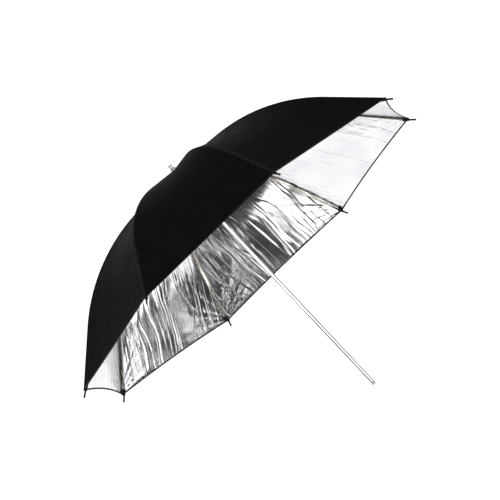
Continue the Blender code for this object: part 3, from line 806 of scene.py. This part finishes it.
def bevelled(piece, width, segments=2, angle=35):
    makeActive(piece)
    bevel = piece.modifiers.new("softEdges", "BEVEL")
    bevel.width, bevel.segments = width, segments
    bevel.limit_method, bevel.angle_limit = "ANGLE", math.radians(angle)
    bpy.ops.object.modifier_apply(modifier=bevel.name)
    return piece


def finishPiece(piece, surface, body, nodes, smooth=38):
    makeActive(piece)
    piece.data.materials.clear()
    piece.data.materials.append(surface)
    bpy.ops.object.shade_smooth_by_angle(angle=math.radians(smooth))
    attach(piece, body)
    if nodes:
        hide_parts(*nodes)
    return piece


def copyPiece(piece, name, turn):
    twin = bpy.data.objects.new(name, piece.data.copy())
    bpy.context.scene.collection.objects.link(twin)
    twin.data.transform(Quaternion((0, 1, 0), turn).to_matrix().to_4x4())
    return twin


def fromPacked(node, name, width):
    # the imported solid's shape, merged, with its sharp edges eased
    piece = bpy.data.objects.new(name, bpy.data.objects[node].data.copy())
    bpy.context.scene.collection.objects.link(piece)
    makeActive(piece)
    bpy.ops.object.mode_set(mode="EDIT")
    bpy.ops.mesh.select_all(action="SELECT")
    bpy.ops.mesh.remove_doubles(threshold=modelling["packedMerge"])
    bpy.ops.mesh.dissolve_limited(angle_limit=math.radians(modelling["flatAngle"]))
    bpy.ops.object.mode_set(mode="OBJECT")
    return bevelled(piece, width) if width else piece


# the shaft and its end fittings

shaft = {
    "radius": 0.004,
    "bore": 0.0033,
    "low": -0.0742,
    "high": 0.4672,
    "edge": 0.0003,
    "sides": 72,
    "slotPlace": 0.005,      # the catch's slot, off the axis
    "slotRaise": 0.002,
    "slotDepth": 0.010,
    "slotWidth": 0.0019,
    "plugHead": 0.0055,
    "ferruleSeat": 0.4678,
}


def makeShaft():
    r, b, low, high = shaft["radius"], shaft["bore"], shaft["low"], shaft["high"]
    edge = shaft["edge"]
    tube = growRings("shaftTube", [
        (r - edge, low), (r, low + edge), (r, high), (b, high), (b, low), (r - edge, low)],
        shaft["sides"], closed=True)
    clearSelection()
    catchLow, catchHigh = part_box("catch_spring")
    slotMiddle = (catchLow[1] + catchHigh[1]) / 2 + shaft["slotRaise"]
    bpy.ops.mesh.primitive_cube_add(size=1, location=(shaft["slotPlace"], slotMiddle, 0))
    cutter = bpy.context.object
    cutter.scale = (shaft["slotDepth"], catchHigh[1] - catchLow[1], shaft["slotWidth"])
    bpy.ops.object.transform_apply(location=True, rotation=True, scale=True)
    makeActive(tube)
    slotCut = tube.modifiers.new("catchSlot", "BOOLEAN")
    slotCut.operation, slotCut.object = "DIFFERENCE", cutter
    bpy.ops.object.modifier_apply(modifier=slotCut.name)
    bpy.data.objects.remove(cutter)
    finishPiece(tube, shaftChrome, "shaft", ["shaft_tube"])

    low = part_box("shaft_end_plug")[0][1]
    head = low + shaft["plugHead"]
    plug = growRings("shaftEndPlug", [
        (0, low + 0.0008), (0.0012, low + 0.0007), (0.0018, low + 0.0002), (0.0024, low),
        (0.0033, low + 0.00015), (0.0038, low + 0.0005), (0.0040, low + 0.0011),
        (0.0040, head - 0.0009), (0.00375, head - 0.0006), (0.00375, head - 0.0003), (0.0040, head),
        (0.0030, head), (0.0030, head + 0.012), (0, head + 0.012)], shaft["sides"])
    finishPiece(plug, greyPlastic, "shaft", ["shaft_end_plug"])

    seat = shaft["ferruleSeat"]
    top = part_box("ferrule")[1][1]
    ferrule = growRings("topFerrule", [
        (0, seat - 0.010), (0.0030, seat - 0.010), (0.0030, seat), (0.0064, seat),
        (0.0068, seat + 0.0003), (0.0067, seat + 0.0009), (0.0060, seat + 0.0012),
        (0.0046, seat + 0.0014), (0.0041, seat + 0.0020), (0.0040, seat + 0.0030),
        (0.0040, top - 0.0034), (0.0037, top - 0.0031), (0.0037, top - 0.0027),
        (0.0040, top - 0.0024), (0.0040, top - 0.0013), (0.0036, top - 0.0005),
        (0.0026, top - 0.0001), (0, top)], shaft["sides"])
    finishPiece(ferrule, shaftChrome, "shaft", ["ferrule"])


makeShaft()
print("shaft and fittings made")

# crown, runner and catch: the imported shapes, with eased edges where a width is given

for node, name, surface, body, slotName, ease in (
    ("crown", "crownNotched", blackPlastic, "shaft", "black_plastic", modelling["mouldedEase"]),
    ("crown_pin", "crownPin", wireSteel, "shaft", "chrome", 0.0),
    ("crown_wire", "crownWire", wireSteel, "shaft", "steel", 0.0),
    ("canopy_washer", "canopyWasher", wireSteel, "shaft", "steel", modelling["ease"]),
    ("catch_spring", "catchBlade", wireSteel, "catch", "steel", 0.00015),
    ("runner", "runnerNotched", blackPlastic, "runner", "black_plastic", modelling["mouldedEase"]),
    ("runner_wire", "runnerWire", wireSteel, "runner", "steel", 0.0),
):
    finishPiece(fromPacked(node, name, ease), surface, body, [node])
print("crown, runner and catch made")

# ribs with their tips and rivets, and stretchers

ribMake = {
    "start": 0.018,
    "top": 0.0029,           # the channel's back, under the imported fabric's face
    "width": 0.0044,
    "height": 0.0040,
    "wall": 0.0006,
    "channelEnd": 0.40155,
    "bendSteps": 44,
    "ease": 0.00014,
    "pivot": 0.009,
    "crownHeight": 0.4605,
    "blade": 0.0012,         # thickness
    "bladeReach": 0.014,     # into the channel
    "bladeWidth": 0.0030,
    "bladeEase": 0.00018,
    "eyeHole": 0.00085,
    "eyeRim": 0.0021,
    "eyeRadius": 0.0022,
    "eyeEdge": 0.0001,
    "eyeSides": 28,
}

tipMake = {
    "depth": 0.0044,
    "tilt": 7.0,             # degrees, flatter than the fabric at the hem
    "collar": 0.0125,
    "pin": 0.0134,
    "sides": 32,
    "wraps": 4,
    "wrapStart": 0.80,       # as a share of the collar
    "wrapStep": 0.00062,
    "wrapRadius": 0.00245,
    "wrapTaper": 0.00006,
    "wrapWire": 0.00034,
    "wrapSides": (28, 8),
}


def onRib(radius, depth):
    slope = float(slopeAt(radius))
    return Vector((
        radius - depth * math.sin(slope), float(heightAt(radius)) - depth * math.cos(slope), 0))


def moveColumns(test, shift):
    bpy.ops.mesh.select_all(action="DESELECT")
    mesh = bmesh.from_edit_mesh(bpy.context.object.data)
    for vertex in mesh.verts:
        vertex.select_set(test(vertex.co))
    mesh.select_flush(True)
    bmesh.update_edit_mesh(bpy.context.object.data)
    bpy.ops.transform.translate(value=shift)


def makeRib():
    width, height, wall = ribMake["width"], ribMake["height"], ribMake["wall"]
    along = Vector((math.cos(innerAngle), -math.sin(innerAngle), 0))
    out = Vector((math.sin(innerAngle), math.cos(innerAngle), 0))
    centre = onRib(ribMake["start"], ribMake["top"] + height / 2)
    clearSelection()
    bpy.ops.mesh.primitive_grid_add(
        x_subdivisions=3, y_subdivisions=2, size=1, location=centre,
        rotation=(0, -math.pi / 2, -innerAngle))
    rib = bpy.context.object
    rib.name = rib.data.name = "ribChannel"
    rib.scale = (width, height, 1)
    bpy.ops.object.transform_apply(location=False, rotation=False, scale=True)
    bpy.ops.object.mode_set(mode="EDIT")
    inner, near = width / 6, 1e-5
    side = width / 2 - wall - inner
    moveColumns(lambda co: abs(co.x - inner) < near, (0, 0, side))
    moveColumns(lambda co: abs(co.x + inner) < near, (0, 0, -side))
    moveColumns(lambda co: abs(co.y) < near, out * (height / 2 - wall))
    bpy.ops.mesh.select_mode(type="FACE")
    bpy.ops.mesh.select_all(action="DESELECT")
    mesh = bmesh.from_edit_mesh(rib.data)
    for face in mesh.faces:
        middle = face.calc_center_median()
        face.select_set(abs(middle.x) < 1e-4 and middle.y < 0)
    bmesh.update_edit_mesh(rib.data)
    bpy.ops.mesh.delete(type="FACE")
    bpy.ops.mesh.select_all(action="SELECT")
    straight = (dish["bendStart"] - ribMake["start"]) / math.cos(innerAngle)
    bpy.ops.mesh.extrude_region_move(TRANSFORM_OT_translate={"value": along * straight})
    bendCentre = onRib(dish["bendStart"], bendRadius)
    bend = math.radians(dish["outerSlope"] - dish["innerSlope"])
    bpy.ops.mesh.spin(steps=ribMake["bendSteps"], angle=bend, center=bendCentre, axis=(0, 0, 1))
    last = (ribMake["channelEnd"] - dish["bendEnd"]) / math.cos(outerAngle)
    outward = Vector((math.cos(outerAngle), -math.sin(outerAngle), 0))
    bpy.ops.mesh.extrude_region_move(TRANSFORM_OT_translate={"value": outward * last})
    bpy.ops.mesh.select_all(action="SELECT")
    bpy.ops.mesh.normals_make_consistent(inside=False)
    bpy.ops.object.mode_set(mode="OBJECT")
    bpy.ops.object.transform_apply(location=True, rotation=True, scale=True)
    bevelled(rib, ribMake["ease"])

    # the flat blade between the channel and the crown's wire, with its eye
    eye = Vector((ribMake["pivot"], ribMake["crownHeight"], 0))
    bladeEnd = onRib(ribMake["start"] + ribMake["bladeReach"], ribMake["top"] + height * 0.5)
    clearSelection()
    bpy.ops.mesh.primitive_cube_add(size=1, location=(eye + bladeEnd) / 2)
    blade = bpy.context.object
    run = bladeEnd - eye
    blade.scale = (run.length, ribMake["bladeWidth"], ribMake["blade"])
    blade.rotation_euler = (0, 0, math.atan2(run.y, run.x))
    bpy.ops.object.transform_apply(location=True, rotation=True, scale=True)
    bevelled(blade, ribMake["bladeEase"])
    half, edge = ribMake["blade"] / 2, ribMake["eyeEdge"]
    hole, rim, radius = ribMake["eyeHole"], ribMake["eyeRim"], ribMake["eyeRadius"]
    ring = growRings("ribEye", [
        (hole, -half), (rim, -half), (radius, -half + edge), (radius, half - edge),
        (rim, half), (hole, half), (hole, -half)], ribMake["eyeSides"], closed=True)
    ring.data.transform(Quaternion((1, 0, 0), math.pi / 2).to_matrix().to_4x4())
    ring.location = eye
    makeActive(ring)
    bpy.ops.object.transform_apply(location=True, rotation=True, scale=True)
    clearSelection()
    for part in (blade, ring, rib):
        part.select_set(True)
    bpy.context.view_layer.objects.active = rib
    bpy.ops.object.join()
    return rib


def makeTip():
    slope = math.radians(dish["outerSlope"] - tipMake["tilt"])
    along = Vector((math.cos(slope), -math.sin(slope), 0))
    start = onRib(dish["hem"], tipMake["depth"]) - along * tipMake["collar"]
    collar, end = tipMake["collar"], tipMake["collar"] + tipMake["pin"]
    tip = growRings("ribTip", [
        (0, 0.0006), (0.0026, 0.0), (0.0030, 0.0003), (0.0031, 0.0008), (0.0031, 0.0022),
        (0.0028, 0.0025), (0.0028, 0.0030), (0.0030, 0.0033), (0.0030, collar * 0.45),
        (0.0028, collar * 0.60), (0.0022, collar * 0.84), (0.0020, collar * 0.92),
        (0.00185, collar + 0.001), (0.0018, end - 0.0046), (0.00188, end - 0.0040),
        (0.00198, end - 0.0032), (0.00198, end - 0.0016), (0.0017, end - 0.0006),
        (0.0010, end - 0.0001), (0, end)], tipMake["sides"])
    turn = Vector((0, 1, 0)).rotation_difference(along).to_matrix().to_4x4()
    roundSides, wireSides = tipMake["wrapSides"]
    wraps = []
    for i in range(tipMake["wraps"]):
        clearSelection()
        bpy.ops.mesh.primitive_torus_add(
            location=(0, collar * tipMake["wrapStart"] + i * tipMake["wrapStep"], 0),
            rotation=(math.pi / 2, 0, 0), major_segments=roundSides, minor_segments=wireSides,
            major_radius=tipMake["wrapRadius"] - i * tipMake["wrapTaper"],
            minor_radius=tipMake["wrapWire"])
        wraps.append(bpy.context.object)
        bpy.ops.object.transform_apply(location=True, rotation=True, scale=True)
    clearSelection()
    for part in (*wraps, tip):
        part.select_set(True)
    bpy.context.view_layer.objects.active = tip
    bpy.ops.object.join()
    tip.data.transform(turn)
    tip.location = start
    bpy.ops.object.transform_apply(location=True, rotation=True, scale=True)
    return tip


ribModel, tipModel = makeRib(), makeTip()
for i in range(dish["ribs"]):
    number, turn = i + 1, i * pitch
    body = f"rib_{number}"
    finishPiece(copyPiece(ribModel, f"ribChannel{number}", turn), ribSteel, body,
                [body], modelling["longSmooth"])
    finishPiece(copyPiece(tipModel, f"ribTip{number}", turn), blackPlastic, body,
                [f"rib_tip_{number}"])
    rivet = fromPacked(f"rib_rivet_{number}", f"ribRivet{number}", modelling["ease"])
    finishPiece(rivet, wireSteel, body, [f"rib_rivet_{number}"])
    arm = f"stretcher_{number}"
    finishPiece(fromPacked(arm, f"stretcherArm{number}", modelling["ease"]), ribSteel, arm,
                [arm], modelling["longSmooth"])
for model in (ribModel, tipModel):
    bpy.data.objects.remove(model)
print("ribs, tips and stretchers made")
